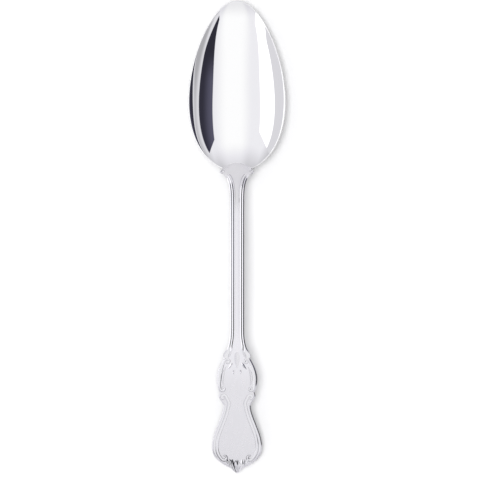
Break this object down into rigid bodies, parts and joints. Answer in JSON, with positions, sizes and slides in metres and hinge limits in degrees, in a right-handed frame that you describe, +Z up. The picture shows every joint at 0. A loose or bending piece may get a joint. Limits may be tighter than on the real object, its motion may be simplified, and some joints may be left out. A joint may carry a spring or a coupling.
{
  "type": "dinner spoon",
  "caption": "Dinner spoon with an egg shaped polished bowl, an arched stem edged with fine threads, and a shaped handle end with raised scrolls and leaves.",
  "frame": {"origin": "middle of the spoon's length and width, on the table it rests on", "axes": "+Y along the spoon to the tip of the bowl, +Z up out of the hollow of the bowl, +X to the right"},
  "size_m": [0.0422, 0.205, 0.0197],
  "materials": {
    "polished_silver": "mirror polished silver plate",
    "satin_silver": "soft polished silver plate, finely worn",
    "raised_silver": "polished raised silver plate with darker hollows"
  },
  "bodies": {
    "root": {"bowl": "polished_silver", "bowl_drop": "satin_silver", "stem": "satin_silver", "end_plate": "satin_silver", "left_outer_thread": "raised_silver", "right_outer_thread": "raised_silver", "left_inner_thread": "raised_silver", "right_inner_thread": "raised_silver", "left_neck_thread": "raised_silver", "right_neck_thread": "raised_silver", "left_neck_scroll": "raised_silver", "right_neck_scroll": "raised_silver", "left_upper_scroll": "raised_silver", "right_upper_scroll": "raised_silver", "left_lower_scroll": "raised_silver", "right_lower_scroll": "raised_silver", "left_upper_bead": "raised_silver", "right_upper_bead": "raised_silver", "left_border_band": "raised_silver", "right_border_band": "raised_silver", "leaf_spray": "raised_silver", "tip_shell": "raised_silver", "left_tip_leaves": "raised_silver", "right_tip_leaves": "raised_silver"}
  },
  "joints": []
}
